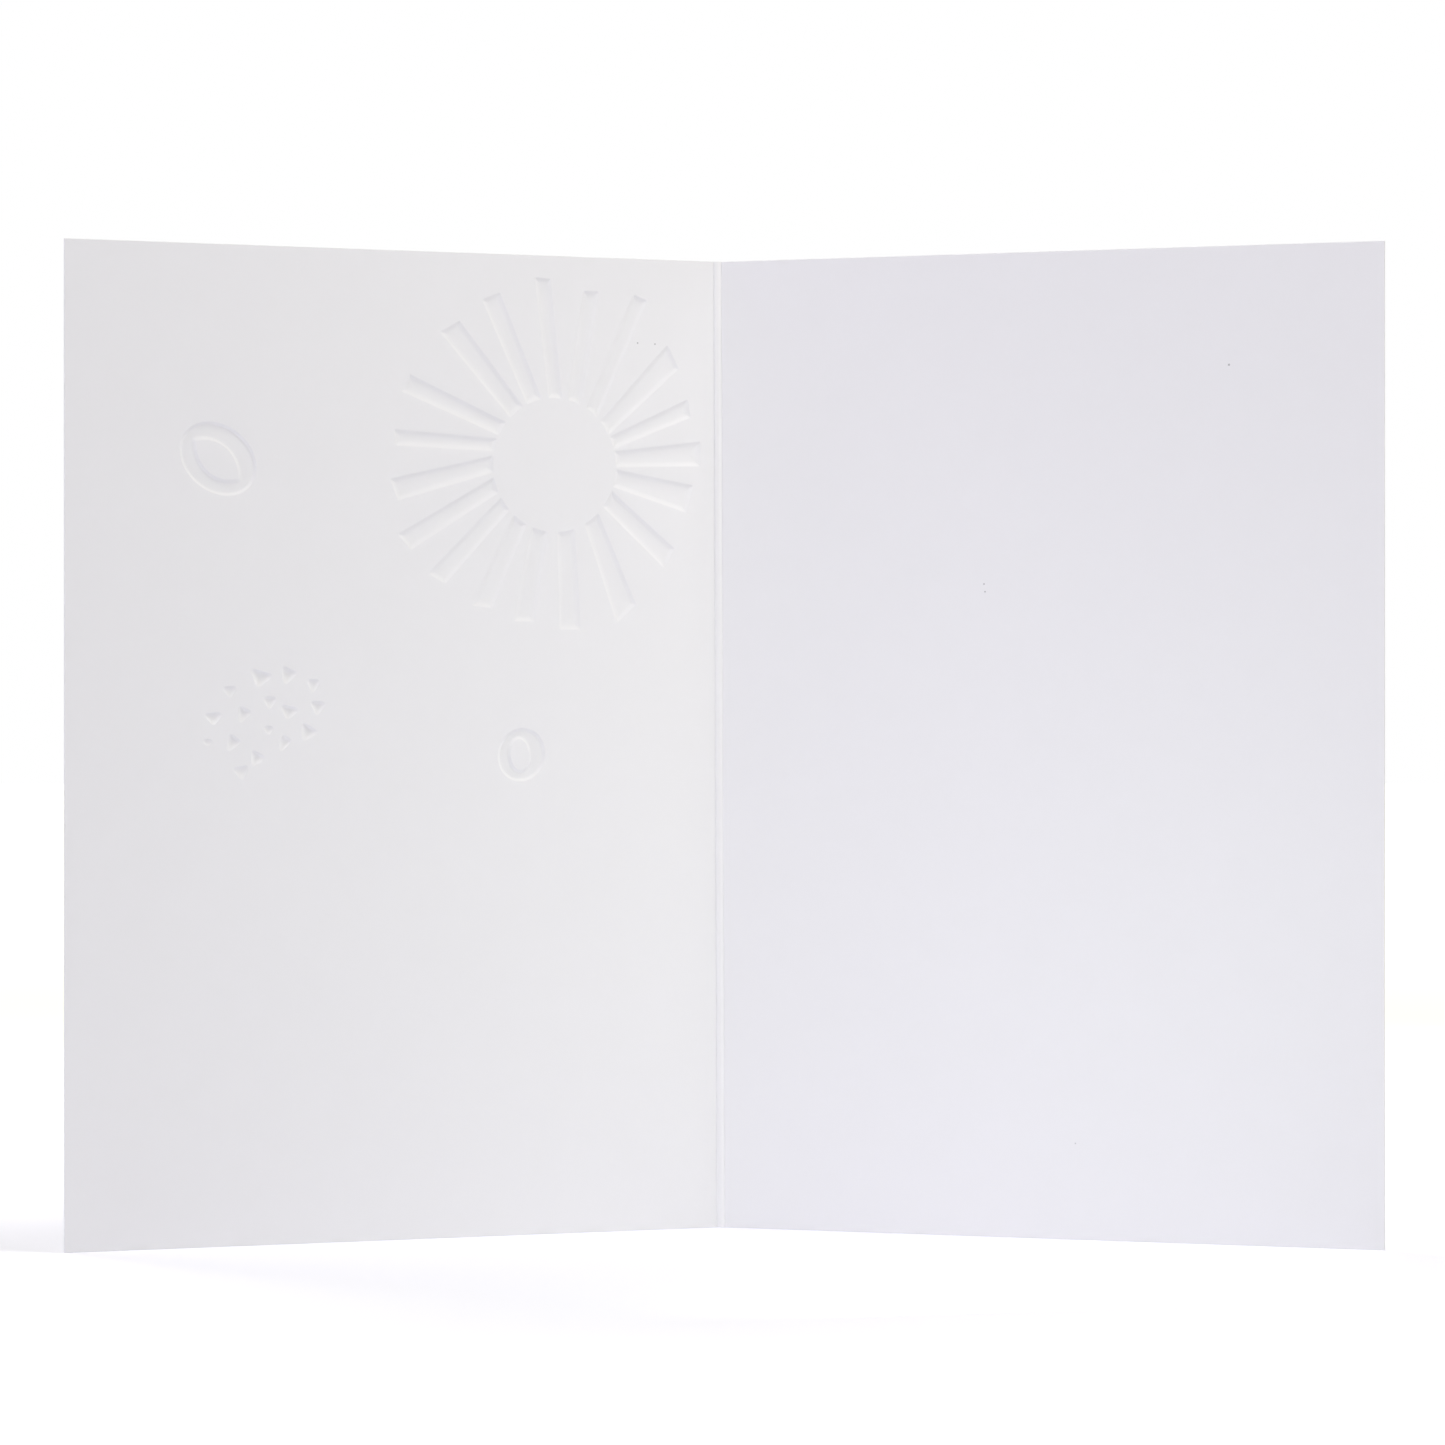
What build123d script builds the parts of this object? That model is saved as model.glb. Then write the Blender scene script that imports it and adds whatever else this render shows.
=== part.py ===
from build123d import *
from functools import partial
from math import cos, degrees, radians, sin, tan
import os

# A greeting card: one sheet of heavy card, creased, folded once and standing open on its bottom edge.
# The origin is at the foot of the fold, where the two inside faces would meet. +Z runs up the fold,
# the inside faces -Y, and the front panel with its pressed relief is on the -X side.

# The sheet, in millimetres and degrees
panel_width = 127.0
panel_height = 177.8
stock_thickness = 0.4
panel_turn = 24.1

# The crease: a bead on the inside, and the shallow channel of the creasing rule on the spine
bead_width = 1.3
bead_height = 0.12
channel_width = 1.2
channel_depth = 0.08
channel_wall = 0.12

# The relief: pressed in from the inside, and raised by as much on the front
ray_depth = 0.3
ring_depth = 0.3
pip_depth = 0.2
wall_angle = 27.0

# The sun: a plain disc at the level of the sheet, with uneven straight rays around it
disc_radius = 12.2
sun_fold_margin = 3.9
sun_top_margin = 4.0
longest_ray = 23.2
widest_tip = 5.2
# Each ray: bearing of its foot, clockwise from straight up, angle that its foot covers on the disc,
# bearing of its tip, its length and its width at the tip as shares of the largest, and slant of its end
RAYS = [
    (0.5, 12.5, -4, 0.94, 0.60, -10),
    (18.5, 12, 13, 0.88, 0.60, 8),
    (37.5, 13, 29, 1.00, 0.58, 5),
    (55, 13.5, 49.5, 0.82, 0.92, -16),
    (69.5, 11, 68, 0.73, 0.63, -12),
    (84, 13.5, 85, 0.74, 0.87, -5),
    (100.5, 15, 102, 0.67, 1.00, -3),
    (120, 16, 126, 0.70, 0.79, 12),
    (143, 16, 152, 0.79, 0.94, 20),
    (169.5, 16.5, 174, 0.77, 0.81, -3),
    (194, 15, 192, 0.73, 0.79, 10),
    (214, 14, 209, 0.75, 0.75, 20),
    (233.5, 13, 228, 0.82, 0.71, 16),
    (251.5, 13.5, 244, 0.89, 0.71, 13),
    (269.5, 14, 261, 0.85, 0.79, 8),
    (286, 11, 278, 0.84, 0.56, 13),
    (301.5, 13, 296, 0.88, 0.67, -4),
    (321.5, 15.5, 320, 0.86, 0.83, -12),
    (340.5, 14.5, 337.5, 0.89, 0.73, -3),
]

# The large ring: an oval band round an almond-shaped island, which lies a little left and low in it
large_ring_from_edge = 28.7
large_ring_from_top = 38.1
large_ring_length = 15.4
large_ring_width = 11.9
large_ring_lean = 33.0
almond_length = 10.2
almond_width = 5.4
almond_lean = 40.0
almond_left = 0.2
almond_down = 0.2

# The small ring: a nearly round band with an upright oval island, which lies a little left in it
small_ring_from_fold = 39.75
small_ring_from_foot = 87.1
small_ring_length = 9.8
small_ring_width = 9.2
small_ring_lean = -60.0
oval_length = 5.7
oval_width = 3.7
oval_lean = 85.0
oval_left = 0.3

# The pips: small three-cornered dents with round corners, scattered in one loose cluster
pips_from_edge = 36.4
pips_from_foot = 92.65
pips_reach = 12.0
largest_pip = 4.2
pip_floor_corner = 0.08
# Each pip: place across and up from the middle of the cluster as shares of its reach, width and height as
# shares of the largest pip's width, and lean
PIPS = [
    (0.01, 0.67, 1.00, 0.69, -16),
    (0.45, 0.71, 0.74, 0.69, -22),
    (0.86, 0.57, 0.57, 0.55, -3),
    (-0.46, 0.48, 0.62, 0.45, 3),
    (0.17, 0.32, 0.60, 0.50, 0),
    (0.47, 0.17, 0.81, 0.57, -13),
    (0.93, 0.24, 0.69, 0.57, -6),
    (-0.26, 0.13, 0.62, 0.67, -28),
    (-0.72, 0.08, 0.79, 0.52, 2),
    (0.15, -0.09, 0.45, 0.38, -8),
    (0.76, -0.14, 0.79, 0.69, -30),
    (0.39, -0.29, 0.50, 0.67, -32),
    (-0.81, -0.27, 0.45, 0.29, -4),
    (-0.43, -0.29, 0.62, 0.67, -34),
    (-0.05, -0.52, 0.67, 0.60, -28),
    (-0.28, -0.72, 0.69, 0.55, 8),
]

# How far a pressed edge shifts between the two faces, so that its wall keeps the sheet's thickness
face_shift = stock_thickness * tan(radians(wall_angle / 2))


def along_panel(distance, side):
    """Point on a panel's inside face, in the section across the fold."""
    turn = radians(panel_turn)
    return Vector(side * distance * cos(turn), -distance * sin(turn))


def through_panel(side):
    """Step through a panel from its inside face to its outside face."""
    turn = radians(panel_turn)
    return Vector(side * sin(turn), cos(turn)) * stock_thickness


def sheet_section():
    """The folded sheet, cut square across the fold."""
    spine = Vector(0, stock_thickness / cos(radians(panel_turn)))
    edge_left, edge_right = (along_panel(panel_width, side) for side in (-1, 1))
    back_left, back_right = edge_left + through_panel(-1), edge_right + through_panel(1)

    bead_left, bead_right = (along_panel(bead_width / 2, side) for side in (-1, 1))
    bead_top = Vector(0, bead_left.Y - bead_height)

    shoulder_left, shoulder_right = (spine + along_panel(channel_width / 2, side) for side in (-1, 1))
    floor_half = channel_width / 2 - channel_wall
    floor_left, floor_right = (
        spine + along_panel(floor_half, side) - Vector(0, channel_depth) for side in (-1, 1))
    floor_rise = floor_right.X * tan(radians(panel_turn / 2))
    floor_middle = Vector(0, floor_right.Y + floor_rise)

    return make_face([
        Line(edge_left, bead_left),
        ThreePointArc(bead_left, bead_top, bead_right),
        Line(bead_right, edge_right),
        Line(edge_right, back_right),
        Line(back_right, shoulder_right),
        Line(shoulder_right, floor_right),
        ThreePointArc(floor_right, floor_middle, floor_left),
        Line(floor_left, shoulder_left),
        Line(shoulder_left, back_left),
        Line(back_left, edge_left),
    ])


def front_panel_plane(level):
    """Plane in the front panel, a level behind its inside face: X runs to the fold, and Y up."""
    turn = radians(panel_turn)
    inward = Vector(sin(turn), -cos(turn), 0)
    return Plane(origin=inward * -level, x_dir=(cos(turn), sin(turn), 0), z_dir=inward)


def wall_run(depth):
    """How far a pressed wall moves in over its depth."""
    return depth / tan(radians(wall_angle))


def bearing_point(bearing, distance):
    """Point at a bearing clockwise from straight up."""
    return Vector(distance * sin(radians(bearing)), distance * cos(radians(bearing)))


def ray_corners(ray, grow=0.0):
    """Corners of one ray around the disc's centre: two on the disc, then two at the tip."""
    foot_bearing, foot_angle, tip_bearing, length_share, width_share, slant = ray
    foot_radius = disc_radius - grow
    half_angle = foot_angle / 2 + degrees(grow / foot_radius)
    foot_right = bearing_point(foot_bearing + half_angle, foot_radius)
    foot_left = bearing_point(foot_bearing - half_angle, foot_radius)

    tip = bearing_point(tip_bearing, disc_radius + longest_ray * length_share)
    outward = (tip - bearing_point(foot_bearing, disc_radius)).normalized()
    across = Vector(outward.Y, -outward.X) + outward * tan(radians(slant))
    end = tip + outward * grow
    half_width = widest_tip * width_share / 2 + grow
    return foot_right, foot_left, end - across * half_width, end + across * half_width


def sun_ray(ray, grow=0.0):
    """One ray, with its foot following the disc."""
    foot_right, foot_left, tip_left, tip_right = ray_corners(ray, grow)
    foot_middle = bearing_point(ray[0], disc_radius - grow)
    return make_face([
        ThreePointArc(foot_right, foot_middle, foot_left),
        Line(foot_left, tip_left),
        Line(tip_left, tip_right),
        Line(tip_right, foot_right),
    ])


def sun_centre():
    """Centre of the disc, with the nearest tips at their margins from the fold and the top edge."""
    corners = [corner for ray in RAYS for corner in ray_corners(ray)]
    reach_to_fold = max(corner.X for corner in corners)
    reach_to_top = max(corner.Y for corner in corners)
    return Vector(-sun_fold_margin - reach_to_fold, panel_height - sun_top_margin - reach_to_top)


def oval(length, width, lean, grow=0.0):
    """Ellipse with its length leaning down to the right."""
    return Rot(0, 0, -lean) * Ellipse(length / 2 + grow, width / 2 + grow)


def almond(grow=0.0):
    """Pointed oval between two equal arcs, with its length leaning down to the right."""
    side = almond_width / 2 + grow
    tip = side * almond_length / almond_width
    upper = ThreePointArc((-tip, 0), (0, side), (tip, 0))
    lower = ThreePointArc((tip, 0), (0, -side), (-tip, 0))
    return Rot(0, 0, -almond_lean) * make_face([upper, lower])


def pip(width_share, height_share, lean, grow=0.0):
    """Three round corners, with a level shoulder and the point down, leaning as a whole."""
    corner = pip_floor_corner + wall_run(pip_depth)
    side = largest_pip * width_share / 2 - corner
    top = largest_pip * height_share / 2 - corner
    core = make_face(Polyline((-side, top), (side, top), (0, -top), close=True))
    return Rot(0, 0, lean) * offset(core, corner + grow)


def pressed(place, outline, depth, level, shift):
    """An outline carried towards the front from one face, with its wall sloping in."""
    mouth = front_panel_plane(level) * place * outline(shift)
    floor = front_panel_plane(level + depth) * place * outline(shift - wall_run(depth))
    return loft([mouth, floor], ruled=True)


def island(place, outline, depth, level, shift):
    """The part inside a pressed band that stays level with the sheet, with its wall sloping out."""
    top = front_panel_plane(level) * place * outline(-shift)
    foot = front_panel_plane(level + depth) * place * outline(wall_run(depth) - shift)
    return loft([top, foot], ruled=True)


def relief(level, shift):
    """Every pressed shape of the front panel, as it meets the face at one level."""
    sun_place = Pos(sun_centre())
    large_place = Pos(large_ring_from_edge - panel_width, panel_height - large_ring_from_top)
    large_band = partial(oval, large_ring_length, large_ring_width, large_ring_lean)
    small_place = Pos(-small_ring_from_fold, small_ring_from_foot)
    small_band = partial(oval, small_ring_length, small_ring_width, small_ring_lean)
    small_island = partial(oval, oval_length, oval_width, oval_lean)
    pips_place = Pos(pips_from_edge - panel_width, pips_from_foot)

    shapes = [pressed(sun_place, partial(sun_ray, ray), ray_depth, level, shift) for ray in RAYS]
    shapes.append(pressed(large_place, large_band, ring_depth, level, shift)
                  - island(large_place * Pos(-almond_left, -almond_down), almond, ring_depth, level, shift))
    shapes.append(pressed(small_place, small_band, ring_depth, level, shift)
                  - island(small_place * Pos(-oval_left, 0), small_island, ring_depth, level, shift))
    for across_share, up_share, *size in PIPS:
        place = pips_place * Pos(pips_reach * across_share, pips_reach * up_share)
        shapes.append(pressed(place, partial(pip, *size), pip_depth, level, shift))
    return shapes


def folded_card():
    """The sheet, with each motif raised on its front and hollowed to match on its inside."""
    sheet = extrude(sheet_section(), amount=panel_height)
    return sheet + relief(stock_thickness, face_shift) - relief(0.0, 0.0)


os.makedirs("parts", exist_ok=True)
export_step(folded_card(), "parts/folded_card.step")
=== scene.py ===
from functools import partial
from math import atan2, ceil, cos, degrees, exp, hypot, inf, pi, radians, sin, tan

import bpy
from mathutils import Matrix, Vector
from mathutils.geometry import delaunay_2d_cdt


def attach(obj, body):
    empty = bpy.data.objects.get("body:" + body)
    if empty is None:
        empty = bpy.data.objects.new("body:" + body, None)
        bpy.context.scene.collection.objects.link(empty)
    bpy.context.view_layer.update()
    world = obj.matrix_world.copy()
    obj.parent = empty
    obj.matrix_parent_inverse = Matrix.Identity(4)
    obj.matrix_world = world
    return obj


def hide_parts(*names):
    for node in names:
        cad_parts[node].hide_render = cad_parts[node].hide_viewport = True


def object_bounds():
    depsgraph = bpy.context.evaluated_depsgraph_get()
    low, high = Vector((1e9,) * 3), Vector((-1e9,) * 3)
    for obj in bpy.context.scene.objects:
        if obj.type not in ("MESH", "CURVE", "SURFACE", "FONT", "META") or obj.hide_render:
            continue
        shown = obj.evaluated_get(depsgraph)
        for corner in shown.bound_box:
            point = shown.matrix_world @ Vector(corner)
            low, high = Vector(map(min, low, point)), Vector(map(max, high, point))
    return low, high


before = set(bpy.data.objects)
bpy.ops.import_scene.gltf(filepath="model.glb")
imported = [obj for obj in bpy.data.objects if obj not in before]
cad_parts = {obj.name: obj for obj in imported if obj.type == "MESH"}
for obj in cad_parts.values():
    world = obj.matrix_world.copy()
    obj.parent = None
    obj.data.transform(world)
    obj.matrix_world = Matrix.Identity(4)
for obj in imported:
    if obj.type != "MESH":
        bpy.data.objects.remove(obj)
cad_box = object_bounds()

# A greeting card: one sheet of heavy white card, creased, folded once and standing open, with its inside
# towards the camera. Lengths are in millimetres and angles in degrees, until a point goes into a mesh.
# A place on the sheet is its distance across from the fold, negative on the front panel, and its height.
MM = 0.001

# The sheet
panel_turn = 24.1
stock_thickness = 0.4
panel_height = cad_box[1].z / MM
panel_width = -cad_box[0].y / MM / sin(radians(panel_turn))
edge_radius = 0.06

# The crease: a bead between two fine grooves inside, and the channel of the creasing rule on the spine.
# The bead starts right of the fold and wanders left towards the top, where its left groove is deeper. The
# mesh's columns follow the bead within its reach, and at the crease's reach they are straight again.
bead_width = 1.6
bead_height = 0.2
bead_skew = 0.6
bead_start = 0.24
bead_wander = 0.68
bead_reach = 1.0
left_groove_foot_depth = 0.055
left_groove_top_depth = 0.11
right_groove_depth = 0.09
groove_width = 0.1
channel_width = 1.2
channel_depth = 0.08
channel_wall = 0.12
channel_rounding = 0.4
crease_reach = 2.4

# The sway: how far the sheet leans away from a true plane in long soft waves, as pressed paper does.
# Each wave: its weight, the distances across and up in which it turns by one radian, and how many times the
# panel's own phase is added to it
sheet_sway = 0.04
front_phase = 1.3
back_phase = 2.9
SWAY_WAVES = [
    (1.0, inf, 31.0, 1),
    (0.6, -41.0, 17.0, 2),
    (1.0, 23.0, inf, 1),
    (0.5, 37.0, 29.0, 0),
]

# The relief: pressed in from the inside, and raised by as much on the front
ray_depth = 0.36
ring_depth = 0.38
wall_angle = 31.5
face_shift = stock_thickness * tan(radians(wall_angle / 2))

# How soft the pressing is: the rounding of a wall's lip and of its foot, as shares of the wall's run, the
# radius of a ray's corners and the smallest that it comes down to, and the share of the depth that a floor
# eases down, within a distance. The rings are pressed more sharply. A pip is a bowl, which is deeper in its
# middle than a level floor.
lip_rounding = 0.35
foot_rounding = 0.7
ray_corner = 0.3
smallest_corner = 0.03
floor_ease = 0.42
floor_ease_reach = 2.2
ring_sharpness = 1.4
ring_rounding = 0.35
bowl_steepness = 0.31
bowl_lip = 0.15

# The sun: a plain disc at the level of the sheet, with uneven straight rays around it
disc_radius = 12.2
sun_fold_margin = 3.9
sun_top_margin = 4.0
longest_ray = 23.2
widest_tip = 5.2
# Each ray: bearing of its foot, clockwise from straight up, angle that its foot covers on the disc,
# bearing of its tip, its length and its width at the tip as shares of the largest, and slant of its end
RAYS = [
    (0.5, 12.5, -4, 0.94, 0.60, -10),
    (18.5, 12, 13, 0.88, 0.60, 8),
    (37.5, 13, 29, 1.00, 0.58, 5),
    (55, 13.5, 49.5, 0.82, 0.92, -16),
    (69.5, 11, 68, 0.73, 0.63, -12),
    (84, 13.5, 85, 0.74, 0.87, -5),
    (100.5, 15, 102, 0.67, 1.00, -3),
    (120, 16, 126, 0.70, 0.79, 12),
    (143, 16, 152, 0.79, 0.94, 20),
    (169.5, 16.5, 174, 0.77, 0.81, -3),
    (194, 15, 192, 0.73, 0.79, 10),
    (214, 14, 209, 0.75, 0.75, 20),
    (233.5, 13, 228, 0.82, 0.71, 16),
    (251.5, 13.5, 244, 0.89, 0.71, 13),
    (269.5, 14, 261, 0.85, 0.79, 8),
    (286, 11, 278, 0.84, 0.56, 13),
    (301.5, 13, 296, 0.88, 0.67, -4),
    (321.5, 15.5, 320, 0.86, 0.83, -12),
    (340.5, 14.5, 337.5, 0.89, 0.73, -3),
]

# The large ring: an oval band round an almond-shaped island, which lies a little left and low in it
large_ring_from_edge = 28.7
large_ring_from_top = 38.1
large_ring_length = 15.4
large_ring_width = 11.9
large_ring_lean = 33.0
almond_length = 10.2
almond_width = 5.4
almond_lean = 40.0
almond_left = 0.2
almond_down = 0.2

# The small ring: a nearly round band with an upright oval island, which lies a little left in it
small_ring_from_fold = 39.75
small_ring_from_foot = 87.1
small_ring_length = 9.8
small_ring_width = 9.2
small_ring_lean = -60.0
oval_length = 5.7
oval_width = 3.7
oval_lean = 85.0
oval_left = 0.3

# The pips: small three-cornered dents with round corners, scattered in one loose cluster
pips_from_edge = 36.4
pips_from_foot = 92.65
pips_reach = 12.0
largest_pip = 4.2
pip_corner = 0.47
# Each pip: place across and up from the middle of the cluster as shares of its reach, width and height as
# shares of the largest pip's width, and lean
PIPS = [
    (0.01, 0.67, 1.00, 0.69, -16),
    (0.45, 0.71, 0.74, 0.69, -22),
    (0.86, 0.57, 0.57, 0.55, -3),
    (-0.46, 0.48, 0.62, 0.45, 3),
    (0.17, 0.32, 0.60, 0.50, 0),
    (0.47, 0.17, 0.81, 0.57, -13),
    (0.93, 0.24, 0.69, 0.57, -6),
    (-0.26, 0.13, 0.62, 0.67, -28),
    (-0.72, 0.08, 0.79, 0.52, 2),
    (0.15, -0.09, 0.45, 0.38, -8),
    (0.76, -0.14, 0.79, 0.69, -30),
    (0.39, -0.29, 0.50, 0.67, -32),
    (-0.81, -0.27, 0.45, 0.29, -4),
    (-0.43, -0.29, 0.62, 0.67, -34),
    (-0.05, -0.52, 0.67, 0.60, -28),
    (-0.28, -0.72, 0.69, 0.55, 8),
]

# The paper: its two tones, the tone of its cut edge, and the tone of a painted highlight: a lighter strip
# along the crease's right-hand flank that stands in for light falling there, with its place and reach
# across from the bead's middle
paper_tones = ((0.86, 0.86, 0.86, 1), (0.872, 0.872, 0.872, 1))
cut_tone = (0.865, 0.865, 0.865, 1)
painted_highlight_tone = (0.91, 0.91, 0.91, 1)
painted_highlight_middle = 0.4
painted_highlight_reach = 0.45
paper_roughness = 0.9
paper_shine = 0.2
cut_roughness = 1.0
cut_shine = 0.1

# The grain: how many patches of tone, of felt and of cut fibres fit in a metre, how many finer layers each
# has and how strongly those show, and how high the felt and the cut fibres stand
patches_per_metre = 160.0
felt_per_metre = 1400.0
fibres_per_metre = 6000.0
patch_layers = 3.0
felt_layers = 4.0
fibre_layers = 3.0
layer_strength = 0.6
felt_height = 0.008
fibre_height = 0.02

# The specks of dust. Each speck: place across and up, and its size
speck_tone = (0.5, 0.5, 0.5, 1)
SPECKS = [
    (-16.6, 162.4, 0.3),
    (-13.1, 162.3, 0.3),
    (98.3, 156.6, 0.4),
    (51.9, 118.0, 0.3),
    (52.1, 116.6, 0.3),
    (69.4, 17.3, 0.24),
]

# Spacing of the mesh: on the plain sheet, along a straight outline and along a round one, then steps round
# a corner, the support beside the sheet's rounded edge, how far the plain sheet's points stay off a motif,
# and how far a motif's rings may reach out from its mouth
sheet_spacing = 4.0
straight_spacing = 1.5
round_spacing = 0.4
corner_steps = 4
edge_support = 0.1
outline_clearance = 1.0
outline_room = 0.24
# Rings that follow an outline, as insets into the hollow in shares of the wall's run, rings of a bowl, as
# shares of its mouth's size, columns beside the fold, and turns of the sheet's rounded edge
WALL_RINGS = (-0.36, -0.22, -0.07, 0.09, 0.25, 0.42, 0.62, 0.85, 1.12)
RAY_FLOOR_RINGS = (1.42, 1.75)
RING_FLOOR_RINGS = (1.3, 1.42, 1.65)
BOWL_RINGS = (1.11, 1.04, 0.97, 0.89, 0.8, 0.69, 0.57, 0.44, 0.3, 0.15)
CREASE_COLUMNS = (
    0.15, 0.3, 0.42, 0.52, 0.6, 0.66, 0.71, 0.75, 0.79, 0.83, 0.87, 0.92, 0.98, 1.06, 1.3, 1.8)
EDGE_TURNS = (45, 90)
# What counts as nothing: a distance between two places, and a share of a step
merge_distance = 1e-7
step_tolerance = 1e-6

# The camera, fitted to the card's corners in the photograph
camera_place = (-24.6, -1113.9, 92.95)
camera_turn = 1.293
camera_lens = 150.7
camera_sensor = 36.0

# The studio: a matte floor, the glow that turns it white to the eye at its reach from the card, and the
# white surround, as it lights the card and as it is seen
floor_size = 16000.0
floor_tone = (0.8, 0.8, 0.92)
glow_tone = (1.0, 1.0, 0.79)
near_glow = 0.22
far_glow = 1.0
glow_reach = 1250.0
surround_tone = (1.0, 1.0, 1.0)
surround_light = 0.25
surround_seen = 1.0
# Each lamp: name, place, size, power in watts and colour
LAMPS = [
    ("front_lamp", (0, -4000, 200), 1200, 25.4, (1.0, 0.97, 0.95)),
    ("key_lamp", (680, -390, 1700), 400, 1.7, (1.0, 0.88, 0.70)),
    ("high_lamp", (146, -127, 600), 200, 1.12, (1.0, 0.99, 0.98)),
    ("right_lamp", (700, -400, 150), 200, 1.11, (1.0, 0.96, 0.84)),
    ("left_lamp", (-1200, -900, 460), 500, 5.25, (0.97, 0.96, 1.0)),
    ("side_lamp", (-1350, -525, 460), 500, 2.4, (0.88, 0.77, 1.0)),
    ("low_lamp", (50, -170, 30), 60, 0.0240, (0.89, 1.0, 0.92)),
    ("back_lamp", (-300, 380, 560), 300, 1.9, (1.0, 0.98, 0.95)),
    ("back_fill_lamp", (480, 520, 200), 300, 0.75, (1.0, 0.99, 0.98)),
]


# The section of the sheet

def crease_inside(across, up):
    """How far the inside face lies behind the foot of the fold, at a distance across the opened card."""
    slope = tan(radians(panel_turn))
    half = bead_width / 2 * cos(radians(panel_turn))
    middle = bead_middle(up) * cos(radians(panel_turn))
    share = (across - middle) / half
    groove = groove_depth(share < 0, up) * exp(-((abs(share) - 1) * half / groove_width) ** 2)
    if abs(share) > 1:
        return groove - abs(across) * slope
    left, right = abs(middle - half) * slope, abs(middle + half) * slope
    chord = -(left + right + share * (right - left)) / 2
    return groove + chord - bead_height * (1 - share ** 2) * (1 - bead_skew * share)


def bead_middle(up):
    """Where the bead's middle lies across from the fold, at a height."""
    return bead_start - bead_wander * up / panel_height


def groove_depth(left, up):
    """Depth of the bead's left or right groove at a height."""
    if not left:
        return right_groove_depth
    deepening = left_groove_top_depth - left_groove_foot_depth
    return left_groove_foot_depth + deepening * up / panel_height


def crease_outside(across):
    """How far the outside face lies behind the foot of the fold, at a distance across the opened card."""
    slope = tan(radians(panel_turn))
    shoulder = channel_width / 2 * cos(radians(panel_turn))
    floor = shoulder - channel_wall
    away = abs(across)
    if away < floor:
        away = (away ** 2 / floor + floor) / 2
    wall = soft_ramp((abs(across) - floor) / channel_wall, channel_rounding, channel_rounding)
    sunk = channel_depth * (1 - wall)
    return stock_thickness / cos(radians(panel_turn)) - away * slope - sunk


def soft_ramp(share, lip, foot):
    """Rise from 0 to 1 as the share goes from 0 to 1, with its two ends rounded."""
    def rise(x, rounding):
        if abs(x) < rounding:
            return (x + rounding) ** 2 / (4 * rounding)
        return max(x, 0.0)
    return rise(share, lip) - rise(share - 1, foot)


def sway(across, up):
    """How far the sheet leans away from a true plane, which grows with the distance from the fold."""
    from_fold = min(abs(across) / panel_width, 1.0)
    phase = front_phase if across < 0 else back_phase
    waves = 0.0
    for weight, wide, high, times in SWAY_WAVES:
        waves += weight * sin(across / wide + up / high + times * phase)
    return sheet_sway * from_fold * waves


def through_sheet(across):
    """Step through the sheet from its inside face to its outside face, one millimetre long."""
    turn = radians(panel_turn)
    share = max(-1.0, min(1.0, across / crease_reach))
    return Vector((share * sin(turn), cos(turn * abs(share)), 0))


def inside_point(across, up, depth):
    """Point on the inside face, pressed in by a depth. Near the fold the points follow the bead."""
    follow = (crease_reach - abs(across)) / (crease_reach - bead_reach)
    x = (across + bead_middle(up) * max(0.0, min(1.0, follow))) * cos(radians(panel_turn))
    return Vector((x, crease_inside(x, up), up)) + through_sheet(across) * (depth + sway(across, up))


def outside_point(across, up, depth):
    """Point on the outside face, raised by a depth."""
    side = max(-1.0, min(1.0, across / crease_reach))
    wider = across + side * stock_thickness * tan(radians(panel_turn))
    x = wider * cos(radians(panel_turn))
    return Vector((x, crease_outside(x), up)) + through_sheet(across) * (depth + sway(across, up))


# Outlines of the relief. Each is a closed row of points measured from its motif's centre, counterclockwise
# with across to the right, and it lies a given inset inside the hollow's mouth.

def bearing_point(bearing, distance):
    """Point at a bearing clockwise from straight up."""
    return Vector((distance * sin(radians(bearing)), distance * cos(radians(bearing))))


def turned(point, angle):
    """A point turned counterclockwise round the motif's centre."""
    c, s = cos(radians(angle)), sin(radians(angle))
    return Vector((point[0] * c - point[1] * s, point[0] * s + point[1] * c))


def rounded(core, radius, runs):
    """Outline at a radius round a core polygon, with each side cut into a given number of runs."""
    def facing(a, b):
        return atan2(a.x - b.x, b.y - a.y)
    points = []
    for k, corner in enumerate(core):
        before, after = core[k - 1], core[(k + 1) % len(core)]
        first = facing(before, corner)
        turn = (facing(corner, after) - first) % (2 * pi)
        for step in range(corner_steps + 1):
            angle = first + turn * step / corner_steps
            points.append(corner + radius * Vector((cos(angle), sin(angle))))
        end = after + points[-1] - corner
        start = points[-1]
        points += [start.lerp(end, run / runs[k]) for run in range(1, runs[k])]
    return points


def ray_corners(ray, grow):
    """Corners of one ray, grown outwards by an amount: two on the disc, then two at the tip."""
    foot_bearing, foot_angle, tip_bearing, length_share, width_share, slant = ray
    foot_radius = disc_radius - grow
    half_angle = foot_angle / 2 + degrees(grow / foot_radius)
    foot_right = bearing_point(foot_bearing + half_angle, foot_radius)
    foot_left = bearing_point(foot_bearing - half_angle, foot_radius)

    tip = bearing_point(tip_bearing, disc_radius + longest_ray * length_share)
    outward = (tip - bearing_point(foot_bearing, disc_radius)).normalized()
    across = Vector((outward.y, -outward.x)) + outward * tan(radians(slant))
    end = tip + outward * grow
    half_width = widest_tip * width_share / 2 + grow
    return foot_left, foot_right, end + across * half_width, end - across * half_width


def ray_runs(ray):
    """Into how many runs a ray's foot, its first side, its tip and its other side are cut."""
    _, foot_angle, _, length_share, width_share, _ = ray
    foot = ceil(radians(foot_angle) * disc_radius / round_spacing)
    along = ceil(longest_ray * length_share / straight_spacing)
    tip = ceil(widest_tip * width_share / straight_spacing)
    return foot, along, tip, along


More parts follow.
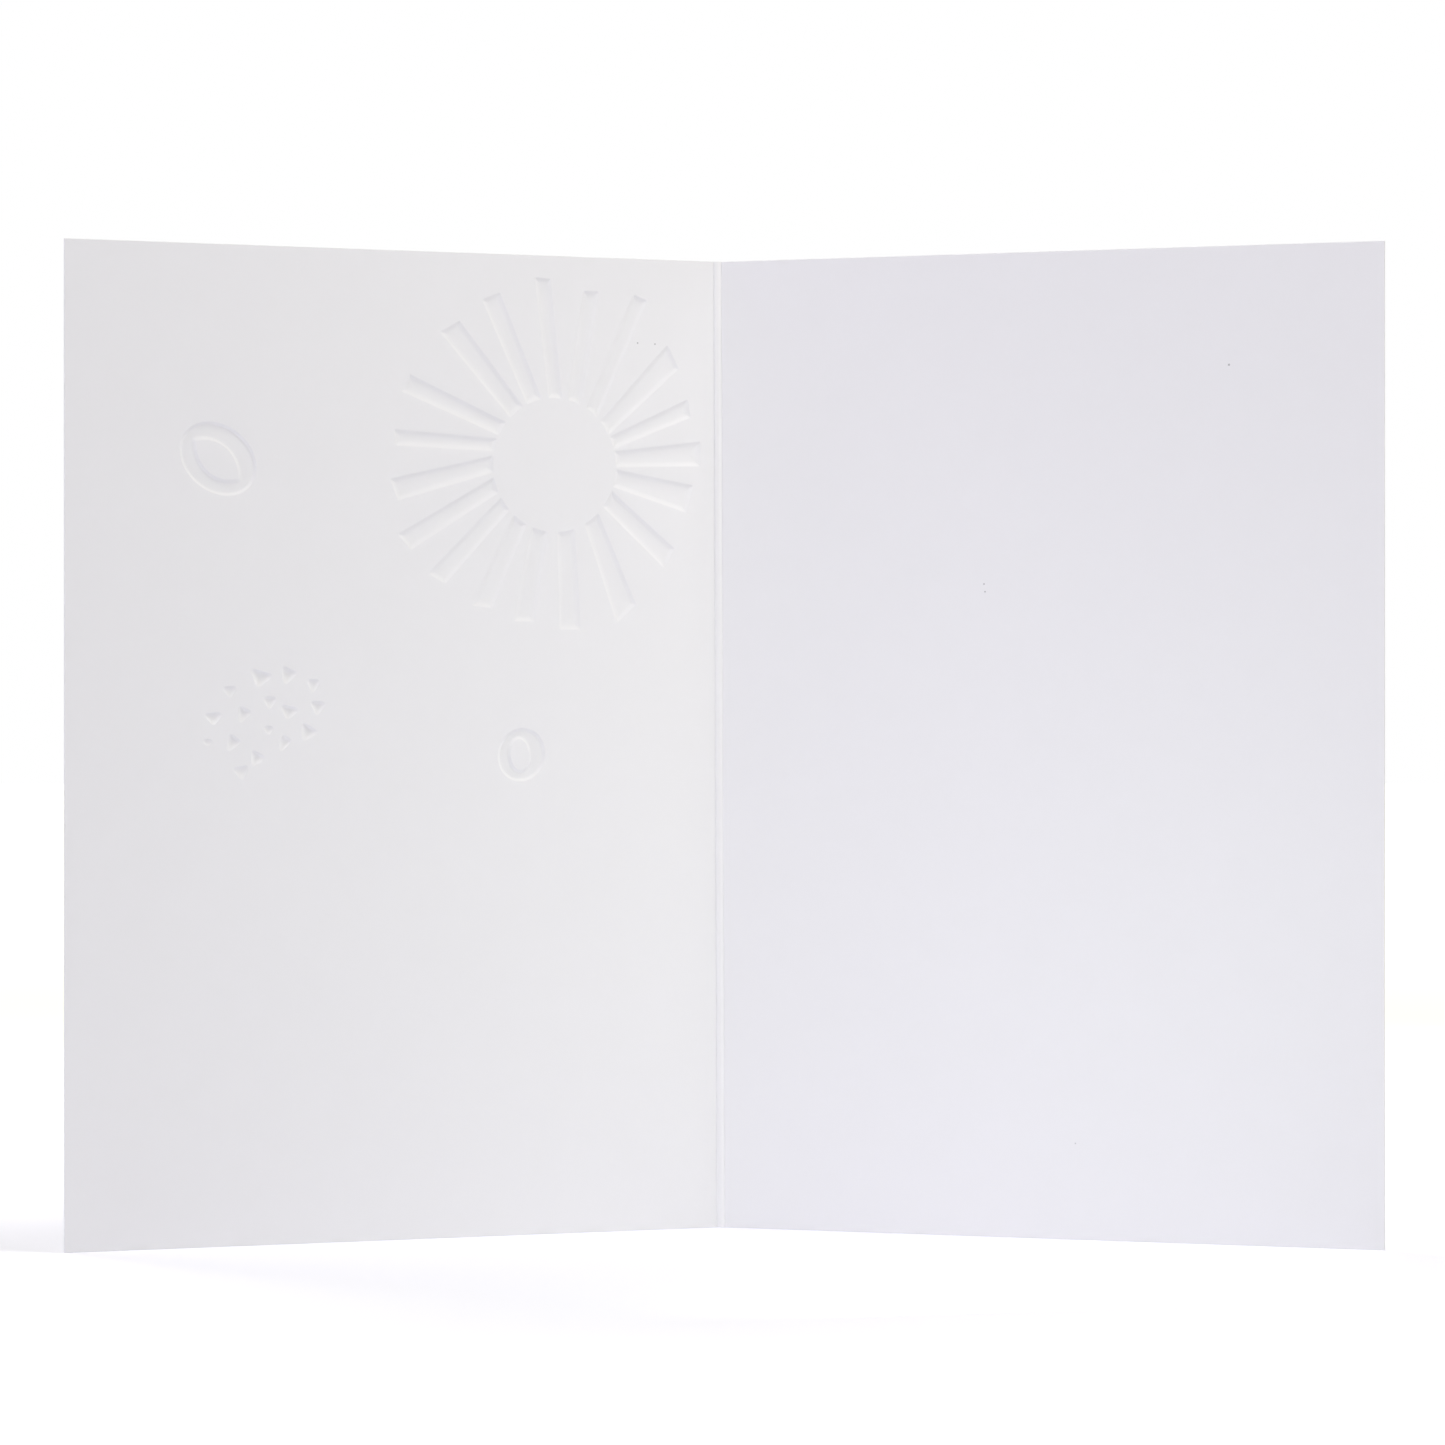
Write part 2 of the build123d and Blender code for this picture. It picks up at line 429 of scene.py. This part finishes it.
def ray_outline(ray, inset):
    """One ray, with its foot following the disc."""
    radius = max(ray_corner - inset, smallest_corner)
    runs = ray_runs(ray)
    points = rounded(ray_corners(ray, -inset - radius), radius, runs)
    for place in range(corner_steps + 1, corner_steps + runs[0]):
        points[place] *= (disc_radius + inset) / points[place].length
    return points


def oval_outline(length, width, lean, inset):
    """Ellipse with its length leaning down to the right."""
    steps = ceil(pi * length / round_spacing)
    angles = [2 * pi * step / steps for step in range(steps)]
    return [turned(((length / 2 - inset) * cos(a), (width / 2 - inset) * sin(a)), -lean) for a in angles]


def almond_outline(inset):
    """Pointed oval between two equal arcs, with its length leaning down to the right."""
    side = almond_width / 2 - inset
    tip = side * almond_length / almond_width
    radius = (tip ** 2 + side ** 2) / (2 * side)
    half_angle = atan2(tip, radius - side)
    steps = ceil(almond_length / round_spacing)
    arc = []
    for step in range(steps):
        angle = half_angle - 2 * half_angle * step / steps
        arc.append(Vector((radius * sin(angle), radius * cos(angle) - radius + side)))
    return [turned(point, -almond_lean) for point in arc + [-point for point in arc]]


def pip_outline(width_share, height_share, lean, inset):
    """Three round corners, with a level shoulder and the point down, leaning as a whole."""
    side = largest_pip * width_share / 2 - pip_corner
    top = largest_pip * height_share / 2 - pip_corner
    core = [Vector((-side, top)), Vector((0, -top)), Vector((side, top))]
    runs = [ceil(hypot(side, 2 * top) / round_spacing)] * 2 + [ceil(2 * side / round_spacing)]
    return [turned(point, lean) for point in rounded(core, pip_corner - inset, runs)]


# The sheet's two faces, laid out flat

def wall_run(depth):
    """How far a pressed wall moves in over its depth."""
    return depth / tan(radians(wall_angle))


def ray_depth_at(inset):
    """Depth of a ray at an inset from its mouth: a soft wall, and a floor that eases down from it."""
    wall = soft_ramp(inset / wall_run(ray_depth), lip_rounding, foot_rounding)
    towards = max(0.0, min(1.0, inset / floor_ease_reach))
    ease = 1 - (1 - towards) ** 2
    return ray_depth * ((1 - floor_ease) * wall + floor_ease * ease)


def ring_depth_at(inset):
    """Depth of a ring at an inset from its mouth: a soft wall, and a level floor."""
    share = inset / wall_run(ring_depth) * ring_sharpness
    return ring_depth * soft_ramp(share, ring_rounding, ring_rounding)


def within(place, loop):
    """Whether a place lies inside a closed row of places."""
    odd = False
    for a, b in zip(loop, loop[1:] + loop[:1]):
        if (a.y > place.y) != (b.y > place.y):
            odd ^= place.x < a.x + (b.x - a.x) * (place.y - a.y) / (b.y - a.y)
    return odd


class FlatFace:
    """One face of the sheet laid out flat: places with their depths, and the facets between them."""

    def __init__(self, shift):
        self.shift = shift
        self.places = []
        self.depths = []
        self.facets = []
        self.mouths = []

    def add(self, place, depth=0.0):
        """A new point, as its number."""
        self.places.append(place)
        self.depths.append(depth)
        return len(self.places) - 1

    def places_of(self, points):
        """The places of a row of points."""
        return [self.places[point] for point in points]

    def wall(self, centre, outline, run, depth_at, floor_rings, island=False):
        """Rings of facets down a hollow's wall and onto its floor. Returns the first loop and the last."""
        loops = []
        for share in (*WALL_RINGS, *floor_rings):
            inset = share * run
            drop = depth_at(inset)
            inset -= self.shift
            if inset < -outline_room:
                continue
            ring = outline(-inset if island else inset)
            loops.append([self.add(centre + place, drop) for place in ring])
        for upper, lower in zip(loops, loops[1:]):
            outer, inner = (lower, upper) if island else (upper, lower)
            for k in range(len(outer)):
                self.facets.append((outer[k - 1], outer[k], inner[k], inner[k - 1]))
        return loops[0], loops[-1]

    def fill(self, outline, holes=(), others=()):
        """Triangles inside an outline and outside its holes, through the other points there."""
        loops = [outline, *holes]
        used = [point for loop in loops for point in loop] + list(others)
        edges = []
        for loop in loops:
            start = len(edges)
            edges += [(start + k, start + (k + 1) % len(loop)) for k in range(len(loop))]
        triangles, origins = delaunay_2d_cdt(self.places_of(used), edges, [], 0, merge_distance)[2:4]
        loop_of = {point: number for number, loop in enumerate(loops) for point in loop}
        for triangle in triangles:
            corners = [used[origins[corner][0]] for corner in triangle]
            number = loop_of.get(corners[0])
            if number is not None and all(loop_of.get(corner) == number for corner in corners):
                middle = sum(self.places_of(corners), Vector((0, 0))) / 3
                if within(middle, self.places_of(loops[number])) != (number == 0):
                    continue
            self.facets.append(tuple(corners))

    def press_bowl(self, centre, mouth):
        """A bowl under a mouth, whose rings turn from the mouth's form into round ones."""
        middle = sum(mouth, Vector((0, 0))) / len(mouth)
        radius = sum((point - middle).length for point in mouth) / len(mouth)
        full_depth = bowl_steepness * radius
        loops = []
        for share in BOWL_RINGS:
            depth = full_depth * soft_ramp(1 - share ** 2, bowl_lip, 0)
            loop = []
            for point in mouth:
                spoke = point - middle
                spoke = spoke.lerp(spoke.normalized() * radius, max(0.0, 1 - share))
                loop.append(self.add(centre + middle + spoke * share, depth))
            loops.append(loop)
        for outer, inner in zip(loops, loops[1:]):
            for k in range(len(outer)):
                self.facets.append((outer[k - 1], outer[k], inner[k], inner[k - 1]))
        bottom = self.add(centre + middle, full_depth)
        self.facets += [(loops[-1][k - 1], loops[-1][k], bottom) for k in range(len(mouth))]
        self.mouths.append(loops[0])

    def press_ray(self, centre, ray):
        """A ray, whose floor eases down to its middle line."""
        run = wall_run(ray_depth)
        mouth, floor = self.wall(centre, partial(ray_outline, ray), run, ray_depth_at, RAY_FLOOR_RINGS)
        self.mouths.append(mouth)

        foot_runs, side_runs, *_ = ray_runs(ray)
        first = 2 * corner_steps + foot_runs
        right = floor[first:first + side_runs + 1]
        left = [floor[-place] for place in range(side_runs + 1)]
        # The middle line has no point at the foot, and is numbered as the two sides are
        middle = [None]
        for k in range(1, side_runs):
            a, b = self.places[left[k]], self.places[right[k]]
            to_foot = (b - self.places[right[0]]).length
            to_tip = (b - self.places[right[-1]]).length
            inset = RAY_FLOOR_RINGS[-1] * run + min((b - a).length / 2, to_foot, to_tip)
            middle.append(self.add((a + b) / 2, ray_depth_at(inset)))
        for k in range(1, side_runs - 1):
            self.facets.append((middle[k], right[k], right[k + 1], middle[k + 1]))
            self.facets.append((left[k], middle[k], middle[k + 1], left[k + 1]))
        foot = [left[1], *floor[:first + 2]]
        tip = floor[first + side_runs - 1:2 - side_runs]
        for fan, end in ((middle[1], foot), (middle[-1], tip)):
            self.facets += [(fan, a, b) for a, b in zip(end, end[1:])]

    def press_ring(self, centre, outline, island_centre, island_outline):
        """A hollow band round an island that stays level with the sheet."""
        run = wall_run(ring_depth) / ring_sharpness
        mouth, floor = self.wall(centre, outline, run, ring_depth_at, RING_FLOOR_RINGS)
        island_top, island_foot = self.wall(
            island_centre, island_outline, run, ring_depth_at, RING_FLOOR_RINGS, island=True)
        self.fill(floor, [island_foot])
        self.fill(island_top)
        self.mouths.append(mouth)


def sun_centre():
    """Centre of the disc, with the nearest tips at their margins from the fold and the top edge."""
    corners = [corner for ray in RAYS for corner in ray_corners(ray, 0.0)]
    reach_to_fold = max(corner.x for corner in corners)
    reach_to_top = max(corner.y for corner in corners)
    return Vector((-sun_fold_margin - reach_to_fold, panel_height - sun_top_margin - reach_to_top))


def press_relief(face):
    """Every pressed shape of the front panel."""
    sun_place = sun_centre()
    for ray in RAYS:
        face.press_ray(sun_place, ray)

    large_place = Vector((large_ring_from_edge - panel_width, panel_height - large_ring_from_top))
    large_band = partial(oval_outline, large_ring_length, large_ring_width, large_ring_lean)
    almond_place = large_place - Vector((almond_left, almond_down))
    face.press_ring(large_place, large_band, almond_place, almond_outline)

    small_place = Vector((-small_ring_from_fold, small_ring_from_foot))
    small_band = partial(oval_outline, small_ring_length, small_ring_width, small_ring_lean)
    small_island = partial(oval_outline, oval_length, oval_width, oval_lean)
    face.press_ring(small_place, small_band, small_place - Vector((oval_left, 0)), small_island)

    pips_place = Vector((pips_from_edge - panel_width, pips_from_foot))
    for across_share, up_share, *size in PIPS:
        place = pips_place + pips_reach * Vector((across_share, up_share))
        face.press_bowl(place, pip_outline(*size, -face.shift))


def evenly(start, end, spacing):
    """Places from start to end, both included, no further apart than the spacing."""
    steps = max(1, ceil(abs(end - start) / spacing - step_tolerance))
    return [start + (end - start) * step / steps for step in range(steps + 1)]


def supported(places):
    """A row of places, with one more just inside each end, so that a rounded edge shades only itself."""
    return [places[0], places[0] + edge_support, *places[1:-1], places[-1] - edge_support, places[-1]]


def taken(place, mouth):
    """Whether a place lies inside a motif's mouth or too close to it."""
    return within(place, mouth) or any((place - other).length < outline_clearance for other in mouth)


def flat_face(shift):
    """One face of the sheet, and its border as a closed row of points from its bottom left corner."""
    face = FlatFace(shift)
    press_relief(face)
    mouths = [face.places_of(mouth) for mouth in face.mouths]

    edge = panel_width - edge_radius
    crease = [-place for place in reversed(CREASE_COLUMNS)] + [0.0, *CREASE_COLUMNS]
    front = evenly(-edge, -crease_reach, sheet_spacing)
    back = evenly(crease_reach, edge, sheet_spacing)
    columns = supported(front + crease + back)
    rows = supported(evenly(edge_radius, panel_height - edge_radius, sheet_spacing))
    last_front = len(front)
    last = len(columns) - 1
    top = len(rows) - 1

    grid = {}
    others = []
    for i, across in enumerate(columns):
        for j, up in enumerate(rows):
            place = Vector((across, up))
            inner = 0 < i < last_front and 0 < j < top
            if inner and any(taken(place, mouth) for mouth in mouths):
                continue
            grid[i, j] = face.add(place)
            if inner:
                others.append(grid[i, j])

    def border(end):
        """The points round the sheet's edge, from its first column to another."""
        path = [(i, 0) for i in range(end)] + [(end, j) for j in range(top)]
        path += [(i, top) for i in range(end, 0, -1)] + [(0, j) for j in range(top, 0, -1)]
        return [grid[place] for place in path]

    face.fill(border(last_front), face.mouths, others)
    for i in range(last_front, last):
        for j in range(top):
            face.facets.append((grid[i, j], grid[i + 1, j], grid[i + 1, j + 1], grid[i, j + 1]))
    return face, border(last)


def edge_direction(place):
    """Which way the sheet's cut edge faces at a place on its border. A corner faces both ways."""
    turn = radians(panel_turn)
    out = Vector((0, 0, 0))
    if abs(place.x) > panel_width - 2 * edge_radius:
        out += Vector((cos(turn) * (1 if place.x > 0 else -1), -sin(turn), 0))
    if place.y < 2 * edge_radius:
        out.z = -1
    if place.y > panel_height - 2 * edge_radius:
        out.z = 1
    return out


def round_edge(points, inside_border, outside_border, directions):
    """Facets of the rounded cut edge between the two faces' borders. Its points join the row of points."""
    rounding = [(edge_radius * sin(radians(a)), edge_radius * (1 - cos(radians(a)))) for a in EDGE_TURNS]
    profile = rounding + [(out, stock_thickness - through) for out, through in reversed(rounding)]
    ends = [(points[a], points[b], direction)
            for a, b, direction in zip(inside_border, outside_border, directions)]
    loops = [inside_border]
    for out, through in profile:
        loops.append(list(range(len(points), len(points) + len(ends))))
        points += [a.lerp(b, through / stock_thickness) + out * direction for a, b, direction in ends]
    loops.append(outside_border)

    facets = []
    for loop, following in zip(loops, loops[1:]):
        for k in range(len(ends)):
            facets.append((loop[k], loop[k - 1], following[k - 1], following[k]))
    return facets


def build_card():
    """The folded sheet as one closed mesh: its two faces, and the rounded cut edge between them."""
    inside, inside_border = flat_face(0.0)
    outside, outside_border = flat_face(face_shift)
    points = [inside_point(*place, depth) for place, depth in zip(inside.places, inside.depths)]
    first_outside = len(points)
    points += [outside_point(*place, depth) for place, depth in zip(outside.places, outside.depths)]
    faces = list(inside.facets)
    faces += [tuple(first_outside + corner for corner in reversed(facet)) for facet in outside.facets]
    outside_border = [first_outside + point for point in outside_border]
    directions = [edge_direction(inside.places[point]) for point in inside_border]
    edge = round_edge(points, inside_border, outside_border, directions)

    mesh = bpy.data.meshes.new("card_sheet")
    mesh.from_pydata([point * MM for point in points], [], faces + edge)
    mesh.polygons.foreach_set("use_smooth", [True] * len(mesh.polygons))
    mesh.materials.append(card_paper())
    mesh.materials.append(cut_paper())
    mesh.polygons.foreach_set("material_index", [0] * len(faces) + [1] * len(edge))
    card = bpy.data.objects.new("card_sheet", mesh)
    bpy.context.scene.collection.objects.link(card)
    return card


# Materials

def new_material(name):
    """An empty node material, and its nodes."""
    material = bpy.data.materials.new(name)
    material.use_nodes = True
    material.node_tree.nodes.clear()
    return material, material.node_tree


def add_node(tree, kind, **settings):
    """A new node with its settings. An input is joined to another node's output, or set to a value."""
    node = tree.nodes.new(kind)
    inputs = settings.pop("inputs", {})
    for name, value in settings.items():
        setattr(node, name, value)
    for name, value in inputs.items():
        if isinstance(value, bpy.types.NodeSocket):
            tree.links.new(value, node.inputs[name])
        else:
            node.inputs[name].default_value = value
    return node


def mixed(tree, share, first, second):
    """A colour between two others, by a share of the second. The node's colours are inputs 6 and 7."""
    inputs = {0: share, 6: first, 7: second}
    return add_node(tree, "ShaderNodeMix", data_type="RGBA", inputs=inputs).outputs[2]


def on_painted_highlight(tree, place):
    """1 along the crease's right-hand flank, where a highlight is painted, and 0 away from it."""
    parts = add_node(tree, "ShaderNodeSeparateXYZ", inputs={0: place})
    turn = radians(panel_turn)
    wander = bead_wander / panel_height * cos(turn)
    highlight_place = painted_highlight_middle + bead_start * cos(turn)
    straight = add_node(tree, "ShaderNodeMath", operation="MULTIPLY_ADD",
                        inputs={0: parts.outputs["Z"], 1: wander, 2: parts.outputs["X"]})
    across = add_node(tree, "ShaderNodeMath", operation="SUBTRACT",
                      inputs={0: straight.outputs[0], 1: highlight_place * MM})
    away = add_node(tree, "ShaderNodeMath", operation="ABSOLUTE", inputs={0: across.outputs[0]})
    nearness = add_node(tree, "ShaderNodeMapRange",
                        inputs={"Value": away.outputs[0], "From Min": painted_highlight_reach * MM, "From Max": 0.0})
    return nearness.outputs["Result"]


def on_speck(tree, place):
    """1 on a speck of dust, and 0 beside it."""
    total = 0.0
    for across, up, size in SPECKS:
        middle = inside_point(across, up, 0.0) * MM
        away = add_node(tree, "ShaderNodeVectorMath", operation="DISTANCE", inputs={0: place, 1: middle})
        hit = add_node(tree, "ShaderNodeMath", operation="LESS_THAN",
                       inputs={0: away.outputs["Value"], 1: size / 2 * MM})
        total = add_node(tree, "ShaderNodeMath", operation="MAXIMUM",
                         inputs={0: hit.outputs[0], 1: total}).outputs[0]
    return total


def grain(tree, place, per_metre, layers):
    """Uneven patches between 0 and 1, with finer layers in them."""
    noise = add_node(tree, "ShaderNodeTexNoise",
                     inputs={"Vector": place, "Scale": per_metre, "Detail": layers,
                             "Roughness": layer_strength})
    return noise.outputs["Fac"]


def finish_paper(tree, tone, roughness, shine, fibres, fibre_rise):
    """A paper's surface, with fibres that stand up by a height."""
    bump = add_node(tree, "ShaderNodeBump",
                    inputs={"Strength": 1.0, "Distance": fibre_rise * MM, "Height": fibres})
    surface = add_node(tree, "ShaderNodeBsdfPrincipled",
                       inputs={"Base Color": tone, "Roughness": roughness,
                               "Specular IOR Level": shine, "Normal": bump.outputs["Normal"]})
    add_node(tree, "ShaderNodeOutputMaterial", inputs={"Surface": surface.outputs["BSDF"]})


def card_paper():
    """Uncoated white card: a fine felt of fibres, a hardly visible unevenness in its colour, specks of
    dust, and a painted highlight along the crease's flank.
    """
    material, tree = new_material("card_paper")
    place = add_node(tree, "ShaderNodeTexCoord").outputs["Object"]
    tone = mixed(tree, grain(tree, place, patches_per_metre, patch_layers), *paper_tones)
    # A lighter tone along the crease's right-hand flank: a painted highlight, not a mark of the paper
    tone = mixed(tree, on_painted_highlight(tree, place), tone, painted_highlight_tone)
    tone = mixed(tree, on_speck(tree, place), tone, speck_tone)
    felt = grain(tree, place, felt_per_metre, felt_layers)
    finish_paper(tree, tone, paper_roughness, paper_shine, felt, felt_height)
    return material


def cut_paper():
    """The cut edge of the card, where the layers of fibre show."""
    material, tree = new_material("cut_paper")
    place = add_node(tree, "ShaderNodeTexCoord").outputs["Object"]
    fibres = grain(tree, place, fibres_per_metre, fibre_layers)
    finish_paper(tree, cut_tone, cut_roughness, cut_shine, fibres, fibre_height)
    return material


# The studio

def shown_directly(tree):
    """1 for what the camera sees, also reflected or through glass, and 0 for what lights the card."""
    path = add_node(tree, "ShaderNodeLightPath")
    either = add_node(tree, "ShaderNodeMath", operation="MAXIMUM",
                      inputs={0: path.outputs["Is Camera Ray"], 1: path.outputs["Is Glossy Ray"]})
    return add_node(tree, "ShaderNodeMath", operation="MAXIMUM",
                    inputs={0: either.outputs[0], 1: path.outputs["Is Transmission Ray"]}).outputs[0]


def build_floor():
    """A plain pale floor that turns white away from the card, and keeps the card's shadow beside it."""
    material, tree = new_material("studio_floor")
    matte = add_node(tree, "ShaderNodeBsdfDiffuse", inputs={"Color": (*floor_tone, 1)})
    place = add_node(tree, "ShaderNodeTexCoord").outputs["Object"]
    away = add_node(tree, "ShaderNodeVectorMath", operation="LENGTH", inputs={0: place})
    growth = add_node(tree, "ShaderNodeMapRange",
                      inputs={"Value": away.outputs["Value"], "From Max": glow_reach * MM,
                              "To Min": near_glow, "To Max": far_glow})
    strength = add_node(tree, "ShaderNodeMath", operation="MULTIPLY",
                        inputs={0: shown_directly(tree), 1: growth.outputs["Result"]})
    glow = add_node(tree, "ShaderNodeEmission",
                    inputs={"Color": (*glow_tone, 1), "Strength": strength.outputs[0]})
    both = add_node(tree, "ShaderNodeAddShader",
                    inputs={0: matte.outputs[0], 1: glow.outputs[0]})
    add_node(tree, "ShaderNodeOutputMaterial", inputs={"Surface": both.outputs[0]})

    half = floor_size / 2 * MM
    mesh = bpy.data.meshes.new("floor")
    mesh.from_pydata([(-half, -half, 0), (half, -half, 0), (half, half, 0), (-half, half, 0)], [],
                     [(0, 1, 2, 3)])
    mesh.materials.append(material)
    floor = bpy.data.objects.new("floor", mesh)
    bpy.context.scene.collection.objects.link(floor)


def build_world():
    """A white surround to look at, and an even soft light from it."""
    world = bpy.data.worlds.new("studio_surround")
    world.use_nodes = True
    tree = world.node_tree
    tree.nodes.clear()
    light = add_node(tree, "ShaderNodeBackground",
                     inputs={"Color": (*surround_tone, 1), "Strength": surround_light})
    backdrop = add_node(tree, "ShaderNodeBackground",
                        inputs={"Color": (*surround_tone, 1), "Strength": surround_seen})
    mix = add_node(tree, "ShaderNodeMixShader",
                   inputs={0: shown_directly(tree), 1: light.outputs[0], 2: backdrop.outputs[0]})
    add_node(tree, "ShaderNodeOutputWorld", inputs={"Surface": mix.outputs[0]})
    bpy.context.scene.world = world


def build_lamp(name, place, size, power, color):
    """A square soft box that faces the middle of the card."""
    data = bpy.data.lights.new(name, "AREA")
    data.shape = "SQUARE"
    data.size = size * MM
    data.energy = power
    data.color = color
    lamp = bpy.data.objects.new(name, data)
    lamp.location = Vector(place) * MM
    middle = Vector((0, 0, panel_height / 2 * MM))
    lamp.rotation_euler = (middle - lamp.location).to_track_quat("-Z", "Y").to_euler()
    lamp.visible_camera = False
    bpy.context.scene.collection.objects.link(lamp)


def build_camera():
    """The camera, a little left of the fold and level with the middle of the card."""
    data = bpy.data.cameras.new("camera")
    data.sensor_width = camera_sensor
    data.lens = camera_lens
    camera = bpy.data.objects.new("camera", data)
    camera.location = Vector(camera_place) * MM
    camera.rotation_euler = (radians(90), 0, radians(-camera_turn))
    bpy.context.scene.collection.objects.link(camera)
    bpy.context.scene.camera = camera


build_camera()
build_floor()
build_world()
for lamp in LAMPS:
    build_lamp(*lamp)

card = build_card()
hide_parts("folded_card")
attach(card, "root")

bpy.context.scene.view_settings.view_transform = "Standard"
